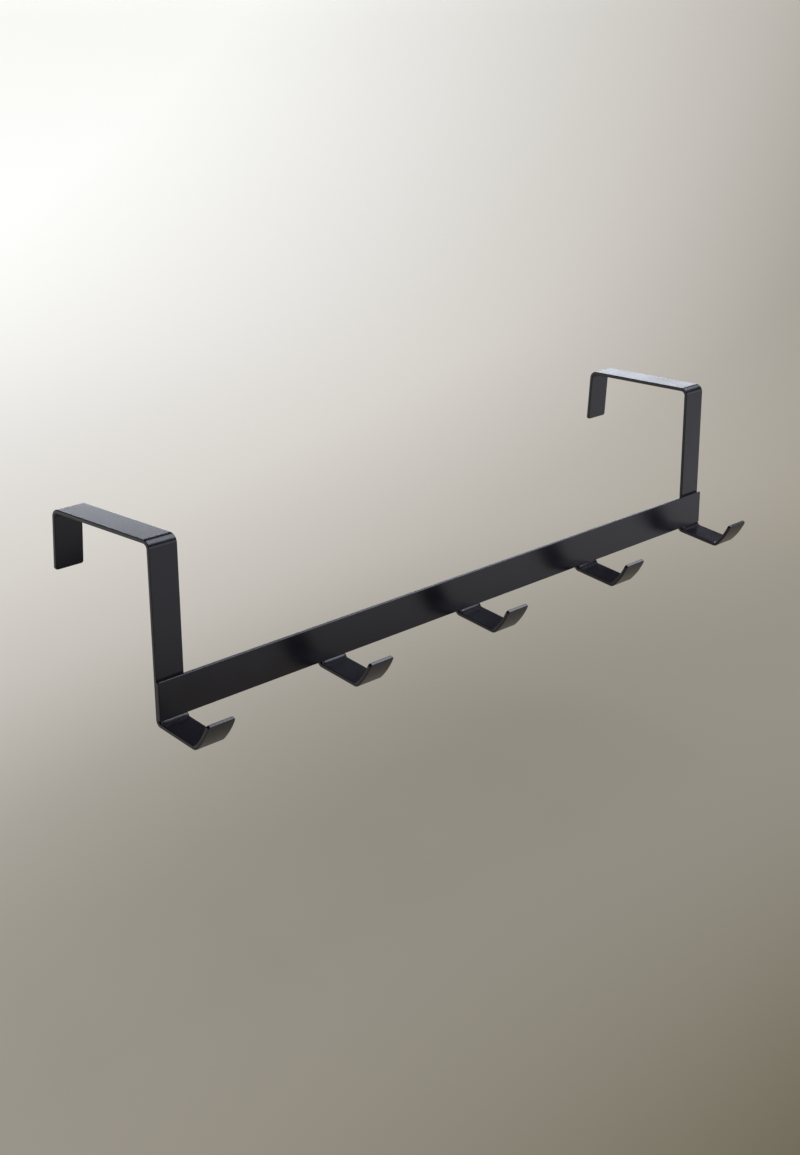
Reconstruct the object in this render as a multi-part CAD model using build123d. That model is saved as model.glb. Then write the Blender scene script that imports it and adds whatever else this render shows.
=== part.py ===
"""Over door hook rack: a flat steel crossbar on two door brackets, with five strip hooks.

Each door bracket is one bent strip: lip behind the door, top strap over it, front strap down,
and its own hook below the crossbar. Three more hooks of the same strip stand between them. All
the strips lie against the back of the crossbar and are spot welded to it.

Frame: millimetres, +X along the crossbar from the left bracket to the right one, +Y towards the
back of the door, +Z up. The origin is the middle of the left bracket's seat on the door's top.
"""
import os
from math import radians, sin, tan

from build123d import *

# Crossbar
BAR_LENGTH = 315.0
BAR_HEIGHT = 14.5
BAR_THICKNESS = 1.5
BAR_OVERHANG = 0.4
BAR_CORNER_RADIUS = 0.5

# Strip that the brackets and hooks are bent from
STRIP_WIDTH = 12.0
STRIP_THICKNESS = 1.5
BEND_RADIUS = 1.8
RIM_CHAMFER = 0.2

# Door bracket: lengths along the strip's middle line, angles in degrees from the vertical
DOOR_GAP = 52.0
STRAP_DROP = 48.5
LIP_LENGTH = 22.4
LIP_FLARE = 4.0
LIP_CORNER_RADIUS = 1.0

# Hook below the crossbar: angles in degrees from the horizontal. The tip leaves the knee's bend
# with a short flat, and then curls up evenly to its end
HOOK_CLEARANCE = 0.1
ROOT_RADIUS = 1.0
ARM_LENGTH = 20.1
ARM_SLOPE = 8.0
KNEE_RADIUS = 1.4
TIP_RISE = 46.0
TIP_FLAT = 0.5
TIP_CURL = 20.0
TIP_CURL_LENGTH = 11.0
TIP_CORNER_RADIUS = 1.0

# Middle hooks, from left to right
MIDDLE_HOOKS = ("left_middle_hook", "centre_hook", "right_middle_hook")
LEG_SETBACK = 2.0
LEG_CORNER_RADIUS = 1.0

# Spot welds, two side by side on each strip, seen as shallow dents in its back
WELD_DIAMETER = 3.2
WELD_DEPTH = 0.2
WELD_PITCH = 5.6

# Planes, heights and steps that follow from the sizes above
DOOR_FACE = -DOOR_GAP / 2
STRAP_FRONT = DOOR_FACE - STRIP_THICKNESS
STRAP_MIDDLE = DOOR_FACE - STRIP_THICKNESS / 2
BAR_TOP = -STRAP_DROP
BAR_BOTTOM = BAR_TOP - BAR_HEIGHT
BAR_MIDDLE = (BAR_TOP + BAR_BOTTOM) / 2
BEND_MIDDLE_RADIUS = BEND_RADIUS + STRIP_THICKNESS / 2
ROOT_MIDDLE_RADIUS = ROOT_RADIUS + STRIP_THICKNESS / 2
KNEE_MIDDLE_RADIUS = KNEE_RADIUS + STRIP_THICKNESS / 2
ROOT_TANGENT = ROOT_MIDDLE_RADIUS * tan(radians(90.0 - ARM_SLOPE) / 2)
KNEE_TANGENT = KNEE_MIDDLE_RADIUS * tan(radians(ARM_SLOPE + TIP_RISE) / 2)
ARM_CORNER = BAR_BOTTOM - HOOK_CLEARANCE - ROOT_TANGENT
CURL_RADIUS = TIP_CURL_LENGTH / radians(TIP_CURL)
CURL_CHORD = 2 * CURL_RADIUS * sin(radians(TIP_CURL) / 2)
BRACKET_SPAN = BAR_LENGTH - 2 * BAR_OVERHANG - STRIP_WIDTH
HOOK_PITCH = BRACKET_SPAN / (len(MIDDLE_HOOKS) + 1)


def stepped(start, length, angle):
    """Return the point at a length from start, in a direction at an angle above +Y."""
    return start + Vector(0, length, 0).rotate(Axis.X, angle)


def hook_corners():
    """Return a hook's middle-line corners: at its root, at the knee and where the curl starts."""
    root = Vector(0, STRAP_MIDDLE, ARM_CORNER)
    knee = stepped(root, ARM_LENGTH, 180.0 + ARM_SLOPE)
    curl_start = stepped(knee, KNEE_TANGENT + TIP_FLAT, 180.0 - TIP_RISE)
    return [root, knee, curl_start]


def bracket_corners():
    """Return a door bracket's middle-line corners, from the end of its lip to its tip's curl."""
    top = STRIP_THICKNESS / 2
    lip_top = Vector(0, DOOR_GAP / 2 + STRIP_THICKNESS / 2, top)
    lip_end = stepped(lip_top, LIP_LENGTH, -90.0 + LIP_FLARE)
    strap_top = Vector(0, STRAP_MIDDLE, top)
    return [lip_end, lip_top, strap_top, *hook_corners()]


def middle_hook_corners():
    """Return a middle hook's middle-line corners, from the top of its leg to its tip's curl."""
    leg_top = Vector(0, STRAP_MIDDLE, BAR_TOP - LEG_SETBACK)
    return [leg_top, *hook_corners()]


def crosses_thickness(edge):
    """Tell whether a strip's edge is one of the short ones that cross its thickness."""
    across_strip = abs((edge % 0.5).X) < 0.5
    return across_strip and abs(edge.length - STRIP_THICKNESS) < 1e-4


def is_bend_line(edge):
    """Tell whether a strip's edge runs straight across its full width, as a bend's limits do."""
    along_x = abs((edge % 0.5).X) > 0.5
    return along_x and abs(edge.length - STRIP_WIDTH) < 1e-4


def middle_line(corners):
    """Return a strip's middle line: straight runs with a bend at each corner, then the curl."""
    square_bends = [BEND_MIDDLE_RADIUS] * (len(corners) - 4)
    runs = FilletPolyline(*corners, radius=[*square_bends, ROOT_MIDDLE_RADIUS, KNEE_MIDDLE_RADIUS])
    tip = stepped(corners[-1], CURL_CHORD, 180.0 - TIP_RISE - TIP_CURL / 2)
    curl = TangentArc(corners[-1], tip, tangent=runs % 1)
    return Wire([*runs.edges(), *curl.edges()])


def bent_strip(corners, start_radius):
    """Bend a strip along its middle line, round its ends and chamfer its rim."""
    path = middle_line(corners)
    across = Plane(origin=corners[0], x_dir=(1, 0, 0), z_dir=corners[1] - corners[0])
    strip = sweep(across * Rectangle(STRIP_WIDTH, STRIP_THICKNESS), path=path)
    for end, radius in ((path @ 0, start_radius), (path @ 1, TIP_CORNER_RADIUS)):
        end_edges = strip.edges().filter_by(crosses_thickness).sort_by_distance(end)[:2]
        strip = fillet(end_edges, radius)
    rim = strip.edges().filter_by(lambda edge: not crosses_thickness(edge) and not is_bend_line(edge))
    return chamfer(rim, RIM_CHAMFER)


def weld_dents():
    """Return the two dents that the spot welds leave in the back of a strip."""
    ball_radius = (WELD_DIAMETER**2 / 4 + WELD_DEPTH**2) / (2 * WELD_DEPTH)
    ball_place = Pos(0, DOOR_FACE - WELD_DEPTH + ball_radius, BAR_MIDDLE)
    return ball_place * GridLocations(WELD_PITCH, 0, 2, 1) * Sphere(ball_radius)


def crossbar():
    """Build the flat crossbar, its back against the front of the straps and legs."""
    left_end = -STRIP_WIDTH / 2 - BAR_OVERHANG
    middle = Pos(left_end + BAR_LENGTH / 2, STRAP_FRONT - BAR_THICKNESS / 2, BAR_MIDDLE)
    bar = middle * Box(BAR_LENGTH, BAR_THICKNESS, BAR_HEIGHT)
    bar = fillet(bar.edges().filter_by(Axis.Y), BAR_CORNER_RADIUS)
    return chamfer(bar.faces().filter_by(Axis.Y).edges(), RIM_CHAMFER)


def door_bracket():
    """Build the left door bracket: lip, top strap, front strap and hook in one strip."""
    return bent_strip(bracket_corners(), LIP_CORNER_RADIUS) - weld_dents()


def middle_hook():
    """Build a middle hook at the left bracket's place: leg, arm and tip in one strip."""
    return bent_strip(middle_hook_corners(), LEG_CORNER_RADIUS) - weld_dents()


def rack():
    """Return every piece of the rack by name."""
    pieces = {"crossbar": crossbar()}
    bracket = door_bracket()
    pieces["left_door_bracket"] = bracket
    pieces["right_door_bracket"] = Pos(BRACKET_SPAN, 0, 0) * bracket
    hook = middle_hook()
    for number, name in enumerate(MIDDLE_HOOKS, start=1):
        pieces[name] = Pos(number * HOOK_PITCH, 0, 0) * hook
    return pieces


os.makedirs("parts", exist_ok=True)
for name, piece in rack().items():
    piece.label = name
    export_step(piece, f"parts/{name}.step")
    box = piece.bounding_box()
    print(f"{name}: {piece.volume:.0f} mm3, {box.size.X:.2f} x {box.size.Y:.2f} x {box.size.Z:.2f} mm")
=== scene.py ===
"""Finished looks of an over door hook rack: six strips of flat steel in a satin black powder coat.

Each strip is modelled the way it is made. A blank's end face is fed forward in straight runs and
spun round each bend, then its corners are rounded, its rim is softened and the spot welds are
pressed into its back. A thin weld bead lies between the crossbar and each hook's arm. Lengths are
in metres and angles in degrees, in the part's own frame: +X along the crossbar, +Y towards the
back of the door, +Z up, and the origin in the middle of the left bracket's seat on the door's top.
"""

import logging
from collections.abc import Iterable
from dataclasses import dataclass, field
from enum import Enum
from math import atan2, cos, degrees, hypot, pi, radians, sin, sqrt, tan

import bmesh
import bpy
from mathutils import Matrix, Quaternion, Vector


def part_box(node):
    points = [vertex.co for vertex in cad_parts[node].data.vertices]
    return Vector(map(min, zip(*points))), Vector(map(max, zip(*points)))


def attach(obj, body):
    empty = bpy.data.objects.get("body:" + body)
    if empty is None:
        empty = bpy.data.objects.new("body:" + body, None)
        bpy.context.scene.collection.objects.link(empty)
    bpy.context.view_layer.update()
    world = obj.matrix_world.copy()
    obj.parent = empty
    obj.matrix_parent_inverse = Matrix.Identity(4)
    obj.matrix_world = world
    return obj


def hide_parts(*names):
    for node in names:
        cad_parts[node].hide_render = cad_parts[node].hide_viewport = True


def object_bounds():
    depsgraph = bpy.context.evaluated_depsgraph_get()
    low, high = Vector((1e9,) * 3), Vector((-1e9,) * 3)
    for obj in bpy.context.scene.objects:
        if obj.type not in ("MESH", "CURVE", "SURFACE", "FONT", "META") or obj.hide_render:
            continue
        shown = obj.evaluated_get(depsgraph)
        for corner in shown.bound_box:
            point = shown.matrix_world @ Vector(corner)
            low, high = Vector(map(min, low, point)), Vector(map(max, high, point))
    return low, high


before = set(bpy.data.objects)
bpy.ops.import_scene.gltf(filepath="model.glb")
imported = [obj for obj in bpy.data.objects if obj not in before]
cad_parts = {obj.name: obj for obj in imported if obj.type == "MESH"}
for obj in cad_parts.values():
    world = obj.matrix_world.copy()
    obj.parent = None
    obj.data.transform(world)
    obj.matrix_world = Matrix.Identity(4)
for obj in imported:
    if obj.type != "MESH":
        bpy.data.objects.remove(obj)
cad_low, cad_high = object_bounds()

ROOT_BODY = "root"
RIM_LAYER = "thin_film"
MM = 0.001
RIGHT_ANGLE = 90.0
HALF_TURN = 180.0
FULL_TURN = 360.0
SHARP_ANGLE = 60.0
ALIGNED = 0.99
THICKNESS_TOLERANCE = 0.1
SURFACE_TOLERANCE = 0.001 * MM
MERGE_DISTANCE = 0.1 * MM
PHOTO_WIDTH = 800
PHOTO_HEIGHT = 1155

# Places of a mix node's sockets for colours: its factor, its two colours and its result
COLOUR_MIX_INPUTS = (0, 6, 7)
COLOUR_MIX_OUTPUT = 2

Colour = tuple[float, float, float]

log = logging.getLogger("hook_rack")


class CoatSlot(Enum):
    """Material slots of the rack's record."""

    BLACK = "black_powder_coat"


class Bracket(Enum):
    """The two door brackets, by the name of their node."""

    LEFT = "left_door_bracket"
    RIGHT = "right_door_bracket"


class MiddleHook(Enum):
    """The three hooks between the brackets, by the name of their node."""

    LEFT = "left_middle_hook"
    CENTRE = "centre_hook"
    RIGHT = "right_middle_hook"


@dataclass(frozen=True)
class NodeBox:
    """Box of one node of the frame, at rest.

    Attributes:
        low: Lowest corner.
        high: Highest corner.
    """

    low: Vector
    high: Vector

    @classmethod
    def of(cls, node: str) -> "NodeBox":
        """Return the box of the node with this name."""
        return cls(*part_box(node))

    @property
    def middle(self) -> Vector:
        """Return the middle of the box."""
        return (self.low + self.high) / 2

    @property
    def size(self) -> Vector:
        """Return the box's length along each axis."""
        return self.high - self.low


class NodeChain:
    """Adds shader nodes to one material or world and links them as they are added."""

    def __init__(self, tree: bpy.types.NodeTree) -> None:
        """Empty the node tree of a material or a world, and start on it."""
        self.tree = tree
        self.tree.nodes.clear()

    def add(self, kind: str, **values: object) -> bpy.types.Node:
        """Add a node, set its options and its sockets, and link sockets given as sockets.

        Args:
            kind: Identifier of the node type.
            **values: Option names of the node, or names of its input sockets in lower case with
                underscores. A socket of another node is linked, anything else is a value.

        Returns:
            The new node.
        """
        node = self.tree.nodes.new(kind)
        sockets = {}
        for socket in node.inputs:
            sockets.setdefault(socket.name.lower().replace(" ", "_"), socket)
        for name, value in values.items():
            if name in sockets:
                self._fill(sockets[name], value)
            else:
                setattr(node, name, value)
        return node

    def add_in_order(self, kind: str, operation: str, *values: object) -> bpy.types.Node:
        """Add a node whose inputs share their names, and fill them in order.

        Args:
            kind: Identifier of the node type.
            operation: What the node works out.
            *values: Sockets to link or values to set, from its first input on.

        Returns:
            The new node.
        """
        node = self.add(kind, operation=operation)
        for socket, value in zip(node.inputs, values):
            self._fill(socket, value)
        return node

    def mixed(self, share: bpy.types.NodeSocket, first: object, second: object) -> bpy.types.NodeSocket:
        """Mix two colours.

        Args:
            share: Share of the second colour.
            first: Colour, or the socket that gives it.
            second: Colour, or the socket that gives it.

        Returns:
            The mixed colour.
        """
        mix = self.add("ShaderNodeMix", data_type="RGBA")
        for place, value in zip(COLOUR_MIX_INPUTS, (share, first, second)):
            self._fill(mix.inputs[place], value)
        return mix.outputs[COLOUR_MIX_OUTPUT]

    def _fill(self, socket: bpy.types.NodeSocket, value: object) -> None:
        """Link an input to another node's socket, or set it to a value.

        Args:
            socket: Input of a node.
            value: Socket to link or value to set.
        """
        if isinstance(value, bpy.types.NodeSocket):
            self.tree.links.new(value, socket)
        else:
            socket.default_value = value


@dataclass(frozen=True)
class PowderCoat:
    """Satin black powder coat: fine orange peel, a finer grain, and a thinner film on the rims.

    Attributes:
        name: Name of the material.
        deep: Colour of the coat's thicker patches.
        pale: Colour of its thinner patches.
        rim: Colour of the thin film along the rims.
        sheen: Tint of its reflections.
        roughness: Lowest and highest roughness over the broad faces.
        rim_gloss: How much smoother the film is along the rims.
        peel_size: Distance between the orange peel's swells.
        peel_height: Height of the orange peel.
        grain_size: Size of the cured powder's grain.
        grain_height: Height of that grain.
        patch_size: Size of the patches of uneven film.
        patch_edges: Noise where the deep colour ends and where the pale one is reached.
        gloss_edges: Noise where the roughness is lowest and where it is highest.
        fineness: Share that each finer octave adds to a noise.
        refractive_index: Refractive index of the cured film.
    """

    name: str = "black_powder_coat"
    deep: Colour = (0.0064, 0.0054, 0.0112)
    pale: Colour = (0.0096, 0.0082, 0.0160)
    rim: Colour = (0.0104, 0.0090, 0.0168)
    sheen: Colour = (0.93, 0.92, 1.0)
    roughness: tuple[float, float] = (0.22, 0.26)
    rim_gloss: float = 0.02
    peel_size: float = 1.1 * MM
    peel_height: float = 0.010 * MM
    grain_size: float = 0.16 * MM
    grain_height: float = 0.0025 * MM
    patch_size: float = 14.0 * MM
    patch_edges: tuple[float, float] = (0.35, 0.70)
    gloss_edges: tuple[float, float] = (0.3, 0.7)
    fineness: float = 0.55
    refractive_index: float = 1.58

    def material(self) -> bpy.types.Material:
        """Build the coat's material on object coordinates.

        Returns:
            The material, with its surface linked.
        """
        material = bpy.data.materials.new(self.name)
        material.use_nodes = True
        chain = NodeChain(material.node_tree)
        place = chain.add("ShaderNodeTexCoord").outputs["Object"]
        rim = chain.add("ShaderNodeAttribute", attribute_name=RIM_LAYER).outputs["Fac"]
        patches = self._noise(chain, place, self.patch_size, detail=3.0)
        shader = chain.add(
            "ShaderNodeBsdfPrincipled",
            base_color=self._colour(chain, patches, rim),
            roughness=self._gloss(chain, patches, rim),
            normal=self._relief(chain, place),
            ior=self.refractive_index,
            specular_tint=(*self.sheen, 1.0),
        )
        chain.add("ShaderNodeOutputMaterial", surface=shader.outputs["BSDF"])
        return material

    def _noise(
        self, chain: NodeChain, place: bpy.types.NodeSocket, size: float, detail: float
    ) -> bpy.types.NodeSocket:
        """Add a noise whose swells are a given size.

        Args:
            chain: Nodes of the material.
            place: Object coordinates.
            size: Distance between the swells.
            detail: Octaves of finer noise.

        Returns:
            The noise's value, around one half.
        """
        noise = chain.add(
            "ShaderNodeTexNoise",
            vector=place,
            scale=1.0 / size,
            detail=detail,
            roughness=self.fineness,
        )
        return noise.outputs["Fac"]

    def _colour(
        self, chain: NodeChain, patches: bpy.types.NodeSocket, rim: bpy.types.NodeSocket
    ) -> bpy.types.NodeSocket:
        """Mix the deep, pale and rim colours.

        Args:
            chain: Nodes of the material.
            patches: Noise of the uneven film.
            rim: One on the rims and zero on the broad faces.

        Returns:
            The coat's colour.
        """
        ramp = chain.add("ShaderNodeValToRGB", fac=patches)
        elements = ramp.color_ramp.elements
        for element, edge, colour in zip(elements, self.patch_edges, (self.deep, self.pale)):
            element.position = edge
            element.color = (*colour, 1.0)
        share = chain.add_in_order("ShaderNodeMath", "MULTIPLY", patches, rim)
        return chain.mixed(share.outputs["Value"], ramp.outputs["Color"], (*self.rim, 1.0))

    def _gloss(
        self, chain: NodeChain, patches: bpy.types.NodeSocket, rim: bpy.types.NodeSocket
    ) -> bpy.types.NodeSocket:
        """Vary the roughness with the film, and lower it on the rims.

        Args:
            chain: Nodes of the material.
            patches: Noise of the uneven film.
            rim: One on the rims and zero on the broad faces.

        Returns:
            The coat's roughness.
        """
        spread = chain.add(
            "ShaderNodeMapRange",
            value=patches,
            from_min=self.gloss_edges[0],
            from_max=self.gloss_edges[1],
            to_min=self.roughness[0],
            to_max=self.roughness[1],
        )
        result = spread.outputs["Result"]
        gloss = chain.add_in_order("ShaderNodeMath", "MULTIPLY_ADD", rim, -self.rim_gloss, result)
        return gloss.outputs["Value"]

    def _relief(self, chain: NodeChain, place: bpy.types.NodeSocket) -> bpy.types.NodeSocket:
        """Bump the surface with the orange peel and, over it, the grain.

        Args:
            chain: Nodes of the material.
            place: Object coordinates.

        Returns:
            The bumped normal.
        """
        peel = self._noise(chain, place, self.peel_size, detail=1.0)
        swells = chain.add("ShaderNodeBump", height=peel, distance=self.peel_height)
        grain = self._noise(chain, place, self.grain_size, detail=2.0)
        fine = chain.add(
            "ShaderNodeBump", height=grain, distance=self.grain_height, normal=swells.outputs["Normal"]
        )
        return fine.outputs["Normal"]


@dataclass(frozen=True)
class PaintedLightTone:
    """One tone of the floor's painted light and shade, which fades into the next.

    Attributes:
        along: Its place in the direction in which the painted light makes the paint lighter.
        colour: Its colour.
    """

    along: float
    colour: Colour


@dataclass(frozen=True)
class PaleSurface:
    """Matt pale paint of the floor and the wall, with painted light: lighter towards the back, and a
    painted shadow under the rack.

    Its painted light and shade leave it darkest at the near right, and pale again in front of the frame.

    Attributes:
        name: Name of the material.
        lighter_towards: Direction in which the painted light makes the paint lighter.
        tones: Tones of painted light and shade, from the one in front of the frame to the one at the
            back wall.
        shade: Colour in the middle of the painted soft shadow under the rack.
        shade_middle: Middle of the painted shadow.
        shade_stretch: Scale of the distances from that middle, below one where the painted shadow is
            longer.
        shade_reach: Distances where the painted shadow starts to fade and where it ends.
        glow: Brightness that seen rays find in the paint besides the lamps' light.
        roughness: Roughness of the paint.
    """

    name: str = "pale_stage"
    lighter_towards: tuple[float, float, float] = (-0.31, 0.951, 0.0)
    # Painted light and shade: the floor is painted lighter towards the back and darkest at the near
    # right
    tones: tuple[PaintedLightTone, ...] = (
        PaintedLightTone(-0.335, (0.46, 0.45, 0.45)),
        PaintedLightTone(-0.262, (0.112, 0.094, 0.055)),
        PaintedLightTone(-0.10, (0.260, 0.234, 0.188)),
        PaintedLightTone(0.09, (0.370, 0.343, 0.296)),
        PaintedLightTone(0.30, (0.560, 0.528, 0.480)),
        PaintedLightTone(0.95, (0.985, 0.984, 0.948)),
    )
    # Painted shadow under the rack, which darkens the floor that the hooks reflect
    shade: Colour = (0.215, 0.195, 0.158)
    shade_middle: tuple[float, float, float] = (0.27, -0.03, -0.16)
    shade_stretch: tuple[float, float, float] = (0.5, 1.0, 1.0)
    shade_reach: tuple[float, float] = (0.0, 0.30)
    glow: float = 0.85
    roughness: float = 0.9

    def material(self) -> bpy.types.Material:
        """Build the paint's material on object coordinates.

        Returns:
            The material, with its surface linked.
        """
        material = bpy.data.materials.new(self.name)
        material.use_nodes = True
        chain = NodeChain(material.node_tree)
        colour = self._colour(chain)
        shader = chain.add(
            "ShaderNodeBsdfPrincipled",
            base_color=colour,
            roughness=self.roughness,
            emission_color=colour,
            emission_strength=self._seen(chain),
        )
        chain.add("ShaderNodeOutputMaterial", surface=shader.outputs["BSDF"])
        return material

    def _colour(self, chain: NodeChain) -> bpy.types.NodeSocket:
        """Fade the painted light from tone to tone, and from the painted shadow to them all.

        Args:
            chain: Nodes of the material.

        Returns:
            The paint's colour, with its painted light and shade.
        """
        place = chain.add("ShaderNodeTexCoord").outputs["Object"]
        # Painted light: the paint is made lighter along this direction
        along = chain.add_in_order("ShaderNodeVectorMath", "DOT_PRODUCT", place, self.lighter_towards)
        first, last = self.tones[0].along, self.tones[-1].along
        value = along.outputs["Value"]
        share = chain.add("ShaderNodeMapRange", value=value, from_min=first, from_max=last)
        ramp = chain.add("ShaderNodeValToRGB", fac=share.outputs["Result"])
        elements = ramp.color_ramp.elements
        for tone in self.tones[1:-1]:
            elements.new((tone.along - first) / (last - first))
        for element, tone in zip(elements, self.tones):
            element.color = (*tone.colour, 1.0)
        # Mix the painted shadow under the rack over the painted light of the tones
        return chain.mixed(self._outside_painted_shadow(chain, place), (*self.shade, 1.0), ramp.outputs["Color"])

    def _outside_painted_shadow(self, chain: NodeChain, place: bpy.types.NodeSocket) -> bpy.types.NodeSocket:
        """Measure how far a place is out of the painted shadow under the rack.

        Args:
            chain: Nodes of the material.
            place: Object coordinates.

        Returns:
            Zero in the middle of the painted shadow and one outside it.
        """
        kind = "ShaderNodeVectorMath"
        away = chain.add_in_order(kind, "SUBTRACT", place, self.shade_middle)
        stretched = chain.add_in_order(kind, "MULTIPLY", away.outputs["Vector"], self.shade_stretch)
        length = chain.add_in_order(kind, "LENGTH", stretched.outputs["Vector"])
        share = chain.add(
            "ShaderNodeMapRange",
            interpolation_type="SMOOTHSTEP",
            value=length.outputs["Value"],
            from_min=self.shade_reach[0],
            from_max=self.shade_reach[1],
        )
        return share.outputs["Result"]

    def _seen(self, chain: NodeChain) -> bpy.types.NodeSocket:
        """Keep the glow to the camera's rays and those of reflections and glass.

        Args:
            chain: Nodes of the material.

        Returns:
            The glow's strength.
        """
        kind = "ShaderNodeMath"
        rays = chain.add("ShaderNodeLightPath").outputs
        reflected = chain.add_in_order(kind, "MAXIMUM", rays["Is Camera Ray"], rays["Is Glossy Ray"])
        through = rays["Is Transmission Ray"]
        seen = chain.add_in_order(kind, "MAXIMUM", reflected.outputs["Value"], through)
        strength = chain.add_in_order(kind, "MULTIPLY", seen.outputs["Value"], self.glow)
        return strength.outputs["Value"]


@dataclass(frozen=True)
class StripStock:
    """Flat steel strip that the brackets and the hooks are bent from.

    Attributes:
        width: Width of the strip.
        thickness: Thickness of the strip.
        bend_radius: Inside radius of the square bends over the door.
        rim_radius: Radius that softens the rim.
        rim_segments: Facets across that radius.
        corner_segments: Facets round each rounded end corner.
        facet_angle: Turn of each facet along a bend.
    """

    width: float
    thickness: float
    bend_radius: float = 1.8 * MM
    rim_radius: float = 0.32 * MM
    rim_segments: int = 4
    corner_segments: int = 8
    facet_angle: float = 4.0

    def middle_radius(self, inside_radius: float) -> float:
        """Return a bend's radius at the strip's middle line."""
        return inside_radius + self.thickness / 2


def stepped(start: Vector, length: float, angle: float) -> Vector:
    """Step from a point in the plane across the crossbar.

    Args:
        start: Point to start from.
        length: Length of the step.
        angle: Direction of the step, in degrees above +Y.

    Returns:
        The point stepped to.
    """
    return start + length * Vector((0.0, cos(radians(angle)), sin(radians(angle))))


def heading_of(run: Vector) -> float:
    """Return a run's direction in degrees above +Y."""
    return degrees(atan2(run.z, run.y))


def verts_of(geometry: Iterable[object]) -> list[bmesh.types.BMVert]:
    """Return the vertices among an operator's results."""
    return [item for item in geometry if isinstance(item, bmesh.types.BMVert)]


def last_face(geometry: Iterable[object]) -> bmesh.types.BMFace:
    """Return the one face among an operator's results."""
    return next(item for item in geometry if isinstance(item, bmesh.types.BMFace))


class BendingBrake:
    """Forms one strip: feeds its end face straight ahead and spins it round each bend."""

    def __init__(self, stock: StripStock, start: Vector, heading: float) -> None:
        """Set the blank's end face across the strip's middle line.

        Args:
            stock: The flat strip.
            start: Middle of the strip's first end.
            heading: Direction of the first run, in degrees above +Y.
        """
        self.stock = stock
        self.mesh = bmesh.new()
        self.place = start.copy()
        self.heading = heading
        blank = bmesh.ops.create_grid(self.mesh, x_segments=1, y_segments=1, size=0.5)["verts"]
        bmesh.ops.scale(self.mesh, vec=(stock.width, stock.thickness, 1.0), verts=blank)
        upright = Matrix.Rotation(radians(heading - RIGHT_ANGLE), 3, "X")
        bmesh.ops.rotate(self.mesh, matrix=upright, verts=blank)
        bmesh.ops.translate(self.mesh, vec=start, verts=blank)
        self.end_face = self.mesh.faces[:][0]
        self.first_corners = self._end_corners()

    def _end_corners(self) -> list[bmesh.types.BMEdge]:
        """Return the end face's two edges that cross the strip's thickness."""
        return sorted(self.end_face.edges, key=lambda edge: edge.calc_length())[:2]

    def _end_section(self) -> list[bmesh.types.BMVert | bmesh.types.BMEdge | bmesh.types.BMFace]:
        """Return the end face with its edges and vertices."""
        return [self.end_face, *self.end_face.edges, *self.end_face.verts]

    def feed(self, length: float) -> None:
        """Extend the strip straight ahead.

        Args:
            length: Length to feed.
        """
        target = stepped(self.place, length, self.heading)
        grown = bmesh.ops.extrude_face_region(self.mesh, geom=self._end_section())["geom"]
        bmesh.ops.translate(self.mesh, vec=target - self.place, verts=verts_of(grown))
        self.end_face = last_face(grown)
        self.place = target

    def bend(self, turn: float, middle_radius: float) -> None:
        """Bend the strip about the crossbar's direction.

        Args:
            turn: Turn of the strip, positive from +Y towards +Z.
            middle_radius: Radius at the strip's middle line.
        """
        side = RIGHT_ANGLE if turn > 0.0 else -RIGHT_ANGLE
        centre = stepped(self.place, middle_radius, self.heading + side)
        spun = bmesh.ops.spin(
            self.mesh,
            geom=self._end_section(),
            cent=centre,
            axis=(1.0, 0.0, 0.0),
            angle=radians(turn),
            steps=max(1, round(abs(turn) / self.stock.facet_angle)),
        )
        self.end_face = last_face(spun["geom_last"])
        self.heading += turn
        self.place = stepped(centre, middle_radius, self.heading - side)

    def follow(self, corners: list[Vector], middle_radii: list[float]) -> None:
        """Form the strip along its middle line.

        Args:
            corners: Corners of the middle line, its two ends among them.
            middle_radii: Radius at each inner corner.
        """
        used = 0.0
        for before, corner, after, radius in zip(corners, corners[1:], corners[2:], middle_radii):
            turned = heading_of(after - corner) - self.heading
            turn = (turned + HALF_TURN) % FULL_TURN - HALF_TURN
            tangent = radius * tan(radians(abs(turn)) / 2)
            self.feed((corner - before).length - used - tangent)
            self.bend(turn, radius)
            used = tangent
        self.feed((corners[-1] - corners[-2]).length - used)

    def round_corners(self, first_radius: float, last_radius: float) -> None:
        """Round the corners of the strip's two ends.

        Args:
            first_radius: Radius at the end that the strip was started from.
            last_radius: Radius at the end that was fed last.
        """
        for edges, radius in ((self.first_corners, first_radius), (self._end_corners(), last_radius)):
            bevel_edges(self.mesh, edges, radius, self.stock.corner_segments)

    def finished(self) -> bmesh.types.BMesh:
        """Soften the rim and return the strip's mesh."""
        soften_rim(self.mesh, self.stock.rim_radius, self.stock.rim_segments)
        return self.mesh


def bevel_edges(
    mesh: bmesh.types.BMesh, edges: list[bmesh.types.BMEdge], radius: float, segments: int
) -> list[bmesh.types.BMFace]:
    """Round some edges of a mesh.

    Args:
        mesh: Mesh to change.
        edges: Edges to round.
        radius: Radius, for edges where two faces meet at a right angle.
        segments: Facets across each rounded edge.

    Returns:
        The new faces.
    """
    rounded = bmesh.ops.bevel(
        mesh,
        geom=edges,
        offset=radius,
        offset_type="OFFSET",
        segments=segments,
        profile=0.5,
        affect="EDGES",
        clamp_overlap=True,
        material=-1,
    )
    return rounded["faces"]


def soften_rim(mesh: bmesh.types.BMesh, radius: float, segments: int) -> None:
    """Round every sharp edge, and mark the new faces as the ones with a thin film.

    Args:
        mesh: Closed mesh to change.
        radius: Radius of the rounded rim.
        segments: Facets across it.
    """
    bmesh.ops.recalc_face_normals(mesh, faces=mesh.faces)
    film = mesh.loops.layers.float.new(RIM_LAYER)
    sharp = [edge for edge in mesh.edges if edge.calc_face_angle(0.0) > radians(SHARP_ANGLE)]
    for face in bevel_edges(mesh, sharp, radius, segments):
        for loop in face.loops:
            loop[film] = 1.0


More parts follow.
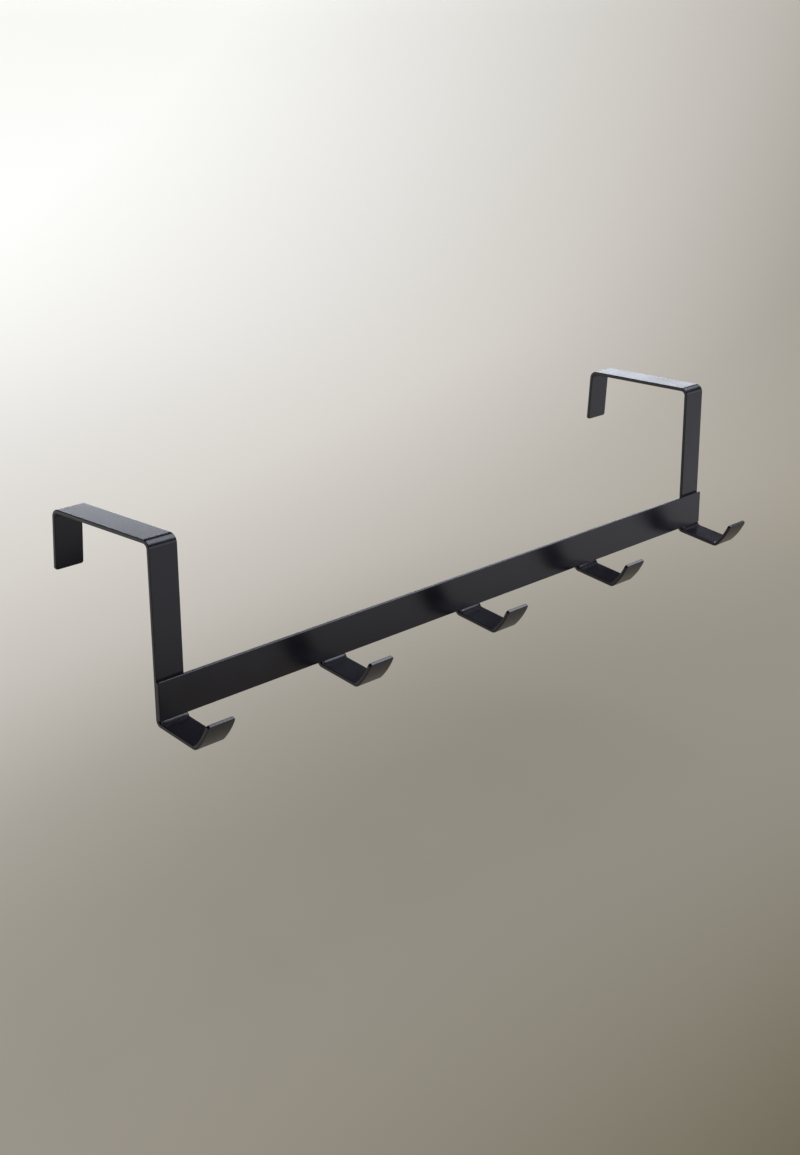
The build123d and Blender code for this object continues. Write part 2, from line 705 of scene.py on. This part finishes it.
@dataclass(frozen=True)
class SpotWelds:
    """Two shallow round dents that the spot welds leave side by side in a strip's back.

    Attributes:
        diameter: Diameter of a dent.
        depth: Depth of a dent.
        pitch: Distance between the two.
        margin: Flat metal kept round the dents in the fine patch of mesh.
        cuts: Cuts along each side of that patch.
    """

    diameter: float = 3.2 * MM
    depth: float = 0.2 * MM
    pitch: float = 5.6 * MM
    margin: float = 0.5 * MM
    cuts: int = 48

    def press(self, mesh: bmesh.types.BMesh, middle: Vector) -> None:
        """Press the dents into the back of a strip.

        Args:
            mesh: Mesh of the strip.
            middle: Middle of the pair, on the strip's back face.
        """
        inner = self._patch(mesh, middle)
        for vert in inner:
            for side in (-0.5, 0.5):
                away = hypot(vert.co.x - middle.x - side * self.pitch, vert.co.z - middle.z)
                vert.co.y -= self._depth_at(away)
        bmesh.ops.smooth_vert(mesh, verts=inner, factor=0.5, use_axis_y=True)

    def _depth_at(self, away: float) -> float:
        """Return the dent's depth at a distance from its middle."""
        ball = (self.diameter**2 / 4 + self.depth**2) / (2 * self.depth)
        return max(0.0, sqrt(max(0.0, ball**2 - away**2)) - ball + self.depth)

    def _patch(self, mesh: bmesh.types.BMesh, middle: Vector) -> list[bmesh.types.BMVert]:
        """Cut a finely divided patch into the back face round the dents.

        Args:
            mesh: Mesh of the strip.
            middle: Middle of the patch, on the back face.

        Returns:
            The vertices inside the patch.
        """
        half_height = self.diameter / 2 + self.margin
        half_width = half_height + self.pitch / 2
        for axis, half in ((Vector((0, 0, 1)), half_height), (Vector((1, 0, 0)), half_width)):
            for side in (-1, 1):
                face = self._back_face(mesh, middle)
                cut = [face, *face.edges, *face.verts]
                place = middle + side * half * axis
                bmesh.ops.bisect_plane(mesh, geom=cut, plane_co=place, plane_no=axis)
        edges = list(self._back_face(mesh, middle).edges)
        divided = bmesh.ops.subdivide_edges(mesh, edges=edges, cuts=self.cuts, use_grid_fill=True)
        border = {vert for edge in edges if edge.is_valid for vert in edge.verts}
        split = set(verts_of(divided["geom_split"]))
        return [vert for vert in verts_of(divided["geom_inner"]) if vert not in border | split]

    def _back_face(self, mesh: bmesh.types.BMesh, middle: Vector) -> bmesh.types.BMFace:
        """Return the face on the strip's back that holds a point."""
        near = [face for face in mesh.faces if face.normal.y > ALIGNED and self._holds(face, middle)]
        return min(near, key=lambda face: abs(face.calc_center_median().y - middle.y))

    def _holds(self, face: bmesh.types.BMFace, point: Vector) -> bool:
        """Tell whether a face's spread along X and Z holds a point.

        Args:
            face: Face of the strip's mesh.
            point: Point to look for.

        Returns:
            Whether the point lies within both spreads.
        """
        for axis in (0, 2):
            places = [vert.co[axis] for vert in face.verts]
            if not min(places) < point[axis] < max(places):
                return False
        return True


@dataclass(frozen=True)
class HookShape:
    """Hook below the crossbar, the same on the brackets and between them.

    Attributes:
        clearance: Gap from the crossbar's bottom edge down to the start of the bend.
        root_radius: Inside radius of the bend below the crossbar.
        arm_length: Arm's middle line, from its corner below the crossbar to the knee's.
        arm_slope: How far the arm dips below the horizontal.
        knee_radius: Inside radius of the bend at the knee.
        tip_rise: Slope above the horizontal at which the tip leaves the knee.
        tip_flat: Flat length between the knee's bend and the tip's curl.
        tip_curl: How much further the tip turns up to its end.
        tip_curl_length: Length of the curl along the strip's middle line.
        tip_corner: Radius of the tip's end corners.
    """

    clearance: float = 0.1 * MM
    root_radius: float = 1.0 * MM
    arm_length: float = 20.1 * MM
    arm_slope: float = 8.0
    knee_radius: float = 1.4 * MM
    tip_rise: float = 46.0
    tip_flat: float = 0.5 * MM
    tip_curl: float = 20.0
    tip_curl_length: float = 11.0 * MM
    tip_corner: float = 1.0 * MM

    @property
    def curl_radius(self) -> float:
        """Return the curl's radius at the strip's middle line."""
        return self.tip_curl_length / radians(self.tip_curl)

    def middle_radii(self, stock: StripStock) -> list[float]:
        """Return the middle line's radii at the root and at the knee."""
        return [stock.middle_radius(self.root_radius), stock.middle_radius(self.knee_radius)]

    def corners(self, strap_middle: float, bar_bottom: float, stock: StripStock) -> list[Vector]:
        """Work out the hook's middle-line corners.

        Args:
            strap_middle: Place of the strip's middle line along Y, behind the crossbar.
            bar_bottom: Height of the crossbar's bottom edge.
            stock: The flat strip.

        Returns:
            The corners below the crossbar and at the knee, and the start of the tip's curl.
        """
        root_radius, knee_radius = self.middle_radii(stock)
        root_tangent = root_radius * tan(radians(RIGHT_ANGLE - self.arm_slope) / 2)
        knee_tangent = knee_radius * tan(radians(self.arm_slope + self.tip_rise) / 2)
        root = Vector((0.0, strap_middle, bar_bottom - self.clearance - root_tangent))
        knee = stepped(root, self.arm_length, HALF_TURN + self.arm_slope)
        curl_start = stepped(knee, knee_tangent + self.tip_flat, HALF_TURN - self.tip_rise)
        return [root, knee, curl_start]


def dressed_piece(mesh: bmesh.types.BMesh, name: str, coat: bpy.types.Material) -> bpy.types.Object:
    """Turn a mesh into a dressed piece of the rack.

    Args:
        mesh: Finished mesh, in place; it is freed.
        name: Name of the piece.
        coat: Material of the piece.

    Returns:
        The piece's object, at the origin.
    """
    bmesh.ops.recalc_face_normals(mesh, faces=mesh.faces)
    open_edges = sum(not edge.is_manifold for edge in mesh.edges)
    for face in mesh.faces:
        face.smooth = True
    data = bpy.data.meshes.new(name)
    mesh.to_mesh(data)
    mesh.free()
    data.materials.append(coat)
    piece = bpy.data.objects.new(data.name, data)
    bpy.context.scene.collection.objects.link(piece)
    even = piece.modifiers.new("even_shading", "WEIGHTED_NORMAL")
    even.mode = "FACE_AREA"
    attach(piece, ROOT_BODY)
    log.info("%s: %d faces, %d open edges", piece.name, len(data.polygons), open_edges)
    return piece


def standing_piece(mesh: bmesh.types.BMesh, node: str, coat: bpy.types.Material) -> bpy.types.Object:
    """Turn a mesh into a dressed piece that stands for its node.

    Args:
        mesh: Finished mesh, in place; it is freed.
        node: Name of the node that the piece stands for.
        coat: Material of the piece.

    Returns:
        The piece's object, at the origin.
    """
    piece = dressed_piece(mesh, f"coated_{node}", coat)
    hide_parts(node)
    return piece


@dataclass
class Crossbar:
    """Flat bar across the front, which every strip is welded to.

    Attributes:
        coat: Material of the bar.
        node: Name of the bar's node.
        corner_radius: Radius of the four corners seen from the front.
        rim_radius: Radius that softens the edges.
        segments: Facets across each of these radii.
    """

    coat: bpy.types.Material
    node: str = "crossbar"
    corner_radius: float = 0.5 * MM
    rim_radius: float = 0.32 * MM
    segments: int = 4
    box: NodeBox = field(init=False)

    def __post_init__(self) -> None:
        """Read the bar's place and size from the frame."""
        self.box = NodeBox.of(self.node)

    @property
    def bottom(self) -> float:
        """Return the height of the bar's bottom edge."""
        return self.box.low.z

    @property
    def back(self) -> float:
        """Return the place of the bar's back along Y."""
        return self.box.high.y

    def build(self) -> bpy.types.Object:
        """Model the bar from a cube and dress it.

        Returns:
            The bar's object.
        """
        mesh = bmesh.new()
        verts = bmesh.ops.create_cube(mesh, size=1.0)["verts"]
        bmesh.ops.scale(mesh, vec=self.box.size, verts=verts)
        bmesh.ops.translate(mesh, vec=self.box.middle, verts=verts)
        corners = [edge for edge in mesh.edges if self._crosses_thickness(edge)]
        bevel_edges(mesh, corners, self.corner_radius, self.segments)
        soften_rim(mesh, self.rim_radius, self.segments)
        return standing_piece(mesh, self.node, self.coat)

    def _crosses_thickness(self, edge: bmesh.types.BMEdge) -> bool:
        """Tell whether an edge is as long as the bar is thick."""
        thickness = self.box.size.y
        return abs(edge.calc_length() - thickness) < THICKNESS_TOLERANCE * thickness


@dataclass
class StripWorks:
    """What every bent strip of the rack shares: its stock, its hook and its welds.

    Attributes:
        crossbar: The bar that the strips are welded to.
        stock: The flat strip.
        hook: The hook below the crossbar.
        welds: The spot welds in the strip's back.
    """

    crossbar: Crossbar
    stock: StripStock = field(init=False)
    hook: HookShape = HookShape()
    welds: SpotWelds = SpotWelds()

    def __post_init__(self) -> None:
        """Read the strip's width and thickness from a bracket's seat and sides."""
        bracket = NodeBox.of(Bracket.LEFT.value)
        self.stock = StripStock(width=bracket.size.x, thickness=bracket.high.z)

    @property
    def strap_middle(self) -> float:
        """Return the place along Y of a strip's middle line behind the crossbar."""
        return self.crossbar.back + self.stock.thickness / 2

    def hook_corners(self) -> list[Vector]:
        """Return the middle-line corners of the hook at the left bracket."""
        return self.hook.corners(self.strap_middle, self.crossbar.bottom, self.stock)

    def formed(
        self, corners: list[Vector], middle_radii: list[float], first_corner: float
    ) -> bmesh.types.BMesh:
        """Form, round and weld one strip at the left bracket's place.

        Args:
            corners: Middle line's corners, from the strip's upper end to its tip's curl.
            middle_radii: Radius at each inner corner above the hook.
            first_corner: Radius of the corners of the strip's upper end.

        Returns:
            The strip's mesh.
        """
        brake = BendingBrake(self.stock, corners[0], heading_of(corners[1] - corners[0]))
        brake.follow(corners, [*middle_radii, *self.hook.middle_radii(self.stock)])
        brake.bend(-self.hook.tip_curl, self.hook.curl_radius)
        brake.round_corners(first_corner, self.hook.tip_corner)
        mesh = brake.finished()
        back = self.strap_middle + self.stock.thickness / 2
        self.welds.press(mesh, Vector((0.0, back, self.crossbar.box.middle.z)))
        return mesh


@dataclass
class DoorBracket:
    """One bent strip: lip behind the door, top strap, front strap and an end hook.

    Attributes:
        place: Which of the two brackets it is.
        works: Shared stock, hook and welds.
        coat: Material of the strip.
        lip_length: Lip's middle line, from the top corner to its end.
        lip_flare: How far the lip leans away from the door.
        lip_corner: Radius of the lip's end corners.
    """

    place: Bracket
    works: StripWorks
    coat: bpy.types.Material
    lip_length: float = 22.4 * MM
    lip_flare: float = 4.0
    lip_corner: float = 1.0 * MM

    def corners(self) -> list[Vector]:
        """Work out the bracket's middle line at the left bracket's place.

        Returns:
            Its corners, from the end of the lip to the start of the tip's curl.
        """
        top = self.works.stock.thickness / 2
        lip_top = Vector((0.0, -self.works.strap_middle, top))
        lip_end = stepped(lip_top, self.lip_length, self.lip_flare - RIGHT_ANGLE)
        strap_top = Vector((0.0, self.works.strap_middle, top))
        return [lip_end, lip_top, strap_top, *self.works.hook_corners()]

    def build(self) -> bpy.types.Object:
        """Form the bracket, move it to its node's place and dress it.

        Returns:
            The bracket's object.
        """
        stock = self.works.stock
        square_bends = [stock.middle_radius(stock.bend_radius)] * 2
        mesh = self.works.formed(self.corners(), square_bends, self.lip_corner)
        along = Vector((NodeBox.of(self.place.value).middle.x, 0.0, 0.0))
        bmesh.ops.translate(mesh, vec=along, verts=mesh.verts)
        return standing_piece(mesh, self.place.value, self.coat)


@dataclass
class MiddleHookStrip:
    """One bent strip between the brackets: leg behind the crossbar, arm and tip.

    Attributes:
        place: Which of the three hooks it is.
        works: Shared stock, hook and welds.
        coat: Material of the strip.
        leg_corner: Radius of the corners at the top of the leg.
    """

    place: MiddleHook
    works: StripWorks
    coat: bpy.types.Material
    leg_corner: float = 1.0 * MM

    def build(self) -> bpy.types.Object:
        """Form the hook, move it to its node's place and dress it.

        Returns:
            The hook's object.
        """
        box = NodeBox.of(self.place.value)
        leg_top = Vector((0.0, self.works.strap_middle, box.high.z))
        mesh = self.works.formed([leg_top, *self.works.hook_corners()], [], self.leg_corner)
        bmesh.ops.translate(mesh, vec=Vector((box.middle.x, 0.0, 0.0)), verts=mesh.verts)
        return standing_piece(mesh, self.place.value, self.coat)


@dataclass
class WeldBead:
    """Smooth weld in the corner between the crossbar's bottom edge and the top of a hook's arm.

    Attributes:
        node: Name of the strip that it is on.
        works: What every strip shares.
        coat: Material of the bead.
        leg: How far it reaches along the arm in front of the crossbar.
        bulge: Height of its rounding over a flat slope.
        end_drop: How far its ends sink below that rounding, as a multiple of the bulge.
        end_sharpness: Power that keeps this sinking close to the ends.
        inset: Gap between its ends and the strip's edges.
        bury: Depth to which it goes into the crossbar and the arm.
        toe_bury: Depth of its front edge in the arm.
        crest_depth: How far behind the crossbar's front its upper edge lies.
        lengthways: Cuts along the bead.
        crossways: Cuts down its slope.
    """

    node: str
    works: StripWorks
    coat: bpy.types.Material
    leg: float = 0.9 * MM
    bulge: float = 0.08 * MM
    end_drop: float = 1.5
    end_sharpness: int = 6
    inset: float = 0.3 * MM
    bury: float = 0.1 * MM
    toe_bury: float = 0.025 * MM
    crest_depth: float = 0.15 * MM
    lengthways: int = 31
    crossways: int = 7

    def build(self) -> bpy.types.Object:
        """Model the bead from a cube and dress it.

        Returns:
            The bead's object.
        """
        bar = self.works.crossbar.box
        front, back = bar.low.y - self.leg, bar.middle.y
        toe = Vector((0.0, front, self._arm_top(front) - self.toe_bury))
        crest = Vector((0.0, bar.low.y + self.crest_depth, bar.low.z + self.bury))
        heel = Vector((0.0, back, self._arm_top(back) - self.bury))
        ceiling = Vector((0.0, back, crest.z))
        corners = {(False, False): toe, (False, True): crest, (True, False): heel, (True, True): ceiling}
        half_length = self.works.stock.width / 2 - self.inset
        middle = NodeBox.of(self.node).middle.x
        mesh = bmesh.new()
        for vert in bmesh.ops.create_cube(mesh, size=1.0)["verts"]:
            corner = corners[vert.co.y > 0.0, vert.co.z > 0.0]
            vert.co = Vector((middle + 2.0 * half_length * vert.co.x, corner.y, corner.z))
        self._cut(mesh, Vector((1.0, 0.0, 0.0)), self.lengthways)
        self._cut(mesh, (crest - toe).normalized(), self.crossways)
        self._round(mesh, toe, crest, Vector((middle, 0.0, 0.0)), half_length)
        return dressed_piece(mesh, f"weld_bead_{self.node}", self.coat)

    def _arm_top(self, along: float) -> float:
        """Find the height of the arm's top face.

        Args:
            along: Place along Y.

        Returns:
            The height there.
        """
        slope = radians(self.works.hook.arm_slope)
        root = self.works.hook_corners()[0]
        above = root + self.works.stock.thickness / 2 * Vector((0.0, -sin(slope), cos(slope)))
        return above.z + (along - above.y) * tan(slope)

    def _cut(self, mesh: bmesh.types.BMesh, direction: Vector, cuts: int) -> None:
        """Divide the edges that run in a direction.

        Args:
            mesh: Mesh of the bead.
            direction: Direction of the edges.
            cuts: Number of cuts.
        """
        edges = []
        for edge in mesh.edges:
            run = (edge.verts[1].co - edge.verts[0].co).normalized()
            if abs(run.dot(direction)) > ALIGNED:
                edges.append(edge)
        bmesh.ops.subdivide_edges(mesh, edges=edges, cuts=cuts, use_grid_fill=True)

    def _round(
        self, mesh: bmesh.types.BMesh, toe: Vector, crest: Vector, middle: Vector, half_length: float
    ) -> None:
        """Raise the slope's middle, and let it run out towards the bead's ends.

        Args:
            mesh: Mesh of the bead.
            toe: Lower end of the slope.
            crest: Upper end of the slope.
            middle: Middle of the bead along X.
            half_length: Half the bead's length.
        """
        slope = crest - toe
        outward = Vector((0.0, -slope.z, slope.y)).normalized()
        for vert in mesh.verts:
            away = vert.co - toe
            if abs(away.dot(outward)) > SURFACE_TOLERANCE:
                continue
            share = away.dot(slope) / slope.length_squared
            arch = 4.0 * share * (1.0 - share)
            end = (abs(vert.co.x - middle.x) / half_length) ** self.end_sharpness
            vert.co += outward * self.bulge * (arch - self.end_drop * end)


@dataclass
class HookRack:
    """The whole rack, in one coat.

    Attributes:
        coat: Finish of every piece.
    """

    coat: PowderCoat = PowderCoat()

    def build(self) -> list[bpy.types.Object]:
        """Model and dress every piece of the rack.

        Returns:
            The pieces.
        """
        black = self.coat.material()
        crossbar = Crossbar(black)
        works = StripWorks(crossbar)
        brackets = [DoorBracket(place, works, black) for place in Bracket]
        hooks = [MiddleHookStrip(place, works, black) for place in MiddleHook]
        beads = [WeldBead(place.value, works, black) for place in (*Bracket, *MiddleHook)]
        return [part.build() for part in (crossbar, *brackets, *hooks, *beads)]


def towards(azimuth: float, elevation: float) -> Vector:
    """Return the direction from the rack to a place round it.

    Args:
        azimuth: Turn of the place about +Z, zero in front of the rack and positive to its right.
        elevation: Height of the place above the horizon.

    Returns:
        The direction, of length one.
    """
    level = cos(radians(elevation))
    return Vector(
        (sin(radians(azimuth)) * level, -cos(radians(azimuth)) * level, sin(radians(elevation)))
    )


@dataclass(frozen=True)
class StudioBowl:
    """Round pale floor that rises to a low wall, which isn't part of the rack.

    Attributes:
        paint: Finish of the floor and the wall, with painted light and a painted shadow.
        drop: Height from the floor up to the rack's lowest point.
        floor_radius: Radius of the flat floor.
        cove_radius: Radius of the arc in which the floor rises.
        cove_angle: How far that arc turns.
        wall_height: Height of the wall above the cove.
        cove_steps: Facets of the cove's arc.
        round_steps: Facets round the bowl.
    """

    paint: PaleSurface = PaleSurface()
    drop: float = 0.09
    floor_radius: float = 0.9
    cove_radius: float = 1.6
    cove_angle: float = 36.0
    wall_height: float = 0.02
    cove_steps: int = 24
    round_steps: int = 96

    def build(self, rack: NodeBox) -> bpy.types.Object:
        """Spin the bowl's profile round the rack's middle.

        Args:
            rack: Box of the rack.

        Returns:
            The bowl.
        """
        middle = rack.middle
        middle.z = rack.low.z - self.drop
        mesh = bmesh.new()
        foot = mesh.verts.new(middle + Vector((self.floor_radius, 0.0, 0.0)))
        cove = bmesh.ops.spin(
            mesh,
            geom=[foot],
            cent=foot.co + Vector((0.0, 0.0, self.cove_radius)),
            axis=(0.0, -1.0, 0.0),
            angle=radians(self.cove_angle),
            steps=self.cove_steps,
        )
        top = bmesh.ops.extrude_vert_indiv(mesh, verts=verts_of(cove["geom_last"]))
        bmesh.ops.translate(mesh, vec=(0.0, 0.0, self.wall_height), verts=top["verts"])
        centre = mesh.verts.new(middle)
        mesh.edges.new((centre, foot))
        bmesh.ops.spin(
            mesh,
            geom=[*mesh.verts, *mesh.edges],
            cent=middle,
            axis=(0.0, 0.0, 1.0),
            angle=radians(FULL_TURN),
            steps=self.round_steps,
            use_merge=True,
        )
        bmesh.ops.remove_doubles(mesh, verts=mesh.verts, dist=MERGE_DISTANCE)
        bmesh.ops.recalc_face_normals(mesh, faces=mesh.faces)
        for face in mesh.faces:
            face.smooth = True
        data = bpy.data.meshes.new("studio_bowl")
        mesh.to_mesh(data)
        mesh.free()
        data.materials.append(self.paint.material())
        bowl = bpy.data.objects.new(data.name, data)
        bpy.context.scene.collection.objects.link(bowl)
        return bowl


@dataclass(frozen=True)
class SoftBox:
    """Soft rectangular lamp that faces the rack.

    Attributes:
        name: Name of the lamp.
        azimuth: Turn of the lamp about +Z, zero in front of the rack and positive to its right.
        elevation: Height of the lamp above the horizon.
        distance: Distance from the rack's middle.
        width: Width of the lamp.
        height: Height of the lamp.
        radiance: Brightness of its face, where one is white.
        colour: Colour of its light.
    """

    name: str
    azimuth: float
    elevation: float
    distance: float
    width: float
    height: float
    radiance: float
    colour: Colour = (0.87, 0.91, 1.0)

    def build(self, middle: Vector) -> bpy.types.Object:
        """Hang the lamp so that it faces a point.

        Args:
            middle: Point that the lamp faces.

        Returns:
            The lamp.
        """
        light = bpy.data.lights.new(self.name, "AREA")
        light.shape = "RECTANGLE"
        light.size = self.width
        light.size_y = self.height
        light.color = self.colour
        light.energy = self.radiance * pi * self.width * self.height
        lamp = bpy.data.objects.new(self.name, light)
        bpy.context.scene.collection.objects.link(lamp)
        out = towards(self.azimuth, self.elevation)
        lamp.location = middle + self.distance * out
        lamp.rotation_mode = "QUATERNION"
        lamp.rotation_quaternion = (-out).to_track_quat("-Z", "Y")
        return lamp


@dataclass(frozen=True)
class StudioSky:
    """Even dim light from above the studio's wall.

    Attributes:
        colour: Colour of the light.
        strength: Its brightness, where one is white.
    """

    colour: Colour = (0.92, 0.95, 1.0)
    strength: float = 0.07

    def build(self) -> None:
        """Give the scene's world this light."""
        world = bpy.data.worlds.new("studio_sky")
        world.use_nodes = True
        chain = NodeChain(world.node_tree)
        sky = chain.add("ShaderNodeBackground", color=(*self.colour, 1.0), strength=self.strength)
        chain.add("ShaderNodeOutputWorld", surface=sky.outputs["Background"])
        bpy.context.scene.world = world


@dataclass(frozen=True)
class StudioCamera:
    """Camera at the photograph's viewing angle.

    Attributes:
        azimuth: Turn of the camera about +Z, zero in front of the rack and positive to its right.
        elevation: Height of the camera above the horizon.
        roll: Turn about its own line of sight, positive anticlockwise.
        aim_along: From the crossbar's middle along +X to the point in the middle of the frame.
        aim_above: Height of that point above the crossbar's middle.
        distance: Distance from that point.
        focal_pixels: Focal length in pixels of the photograph.
        sensor: Length of the sensor's long side, in millimetres.
        sight: Nearest and farthest distance that the camera sees.
    """

    azimuth: float = -45.46
    elevation: float = 19.27
    roll: float = -0.364
    aim_along: float = -40.4 * MM
    aim_above: float = 15.45 * MM
    distance: float = 661.2 * MM
    focal_pixels: float = 1728.1
    sensor: float = 36.0
    sight: tuple[float, float] = (0.01, 20.0)

    def build(self, crossbar: NodeBox) -> bpy.types.Object:
        """Set the scene's camera.

        Args:
            crossbar: Box of the crossbar.

        Returns:
            The camera.
        """
        data = bpy.data.cameras.new("studio_camera")
        data.sensor_width = self.sensor
        data.lens = self.focal_pixels * self.sensor / max(PHOTO_WIDTH, PHOTO_HEIGHT)
        data.clip_start, data.clip_end = self.sight
        camera = bpy.data.objects.new(data.name, data)
        bpy.context.scene.collection.objects.link(camera)
        front = Vector((crossbar.middle.x, crossbar.low.y, crossbar.middle.z))
        aim = front + Vector((self.aim_along, 0.0, self.aim_above))
        out = towards(self.azimuth, self.elevation)
        camera.location = aim + self.distance * out
        camera.rotation_mode = "QUATERNION"
        level = (-out).to_track_quat("-Z", "Y")
        camera.rotation_quaternion = level @ Quaternion((0.0, 0.0, 1.0), radians(self.roll))
        bpy.context.scene.camera = camera
        return camera


@dataclass(frozen=True)
class Studio:
    """Pale floor, soft lamps and camera round the rack.

    Attributes:
        bowl: Floor and wall.
        sky: Even light from above.
        lamps: Soft lamps.
        camera: Camera.
    """

    bowl: StudioBowl = StudioBowl()
    sky: StudioSky = StudioSky()
    lamps: tuple[SoftBox, ...] = (
        SoftBox("back_softbox", 140.5, 10.8, distance=2.6, width=2.0, height=0.6, radiance=3.1),
        SoftBox("key_softbox", 74.0, 51.0, distance=0.9, width=0.8, height=0.55, radiance=3.6),
        SoftBox("front_fill", 36.0, 9.5, distance=1.6, width=1.7, height=0.5, radiance=1.0),
    )
    camera: StudioCamera = StudioCamera()

    def build(self, rack: NodeBox) -> None:
        """Set the studio up round the rack.

        Args:
            rack: Box of the rack.
        """
        self.bowl.build(rack)
        self.sky.build()
        for lamp in self.lamps:
            lamp.build(rack.middle)
        self.camera.build(NodeBox.of("crossbar"))
        bpy.context.scene.view_settings.view_transform = "Standard"


def main() -> None:
    """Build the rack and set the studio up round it."""
    logging.basicConfig(level=logging.INFO, format="%(name)s: %(message)s")
    pieces = HookRack().build()
    Studio().build(NodeBox(cad_low, cad_high))
    log.info("%d pieces", len(pieces))


if __name__ == "__main__":
    main()
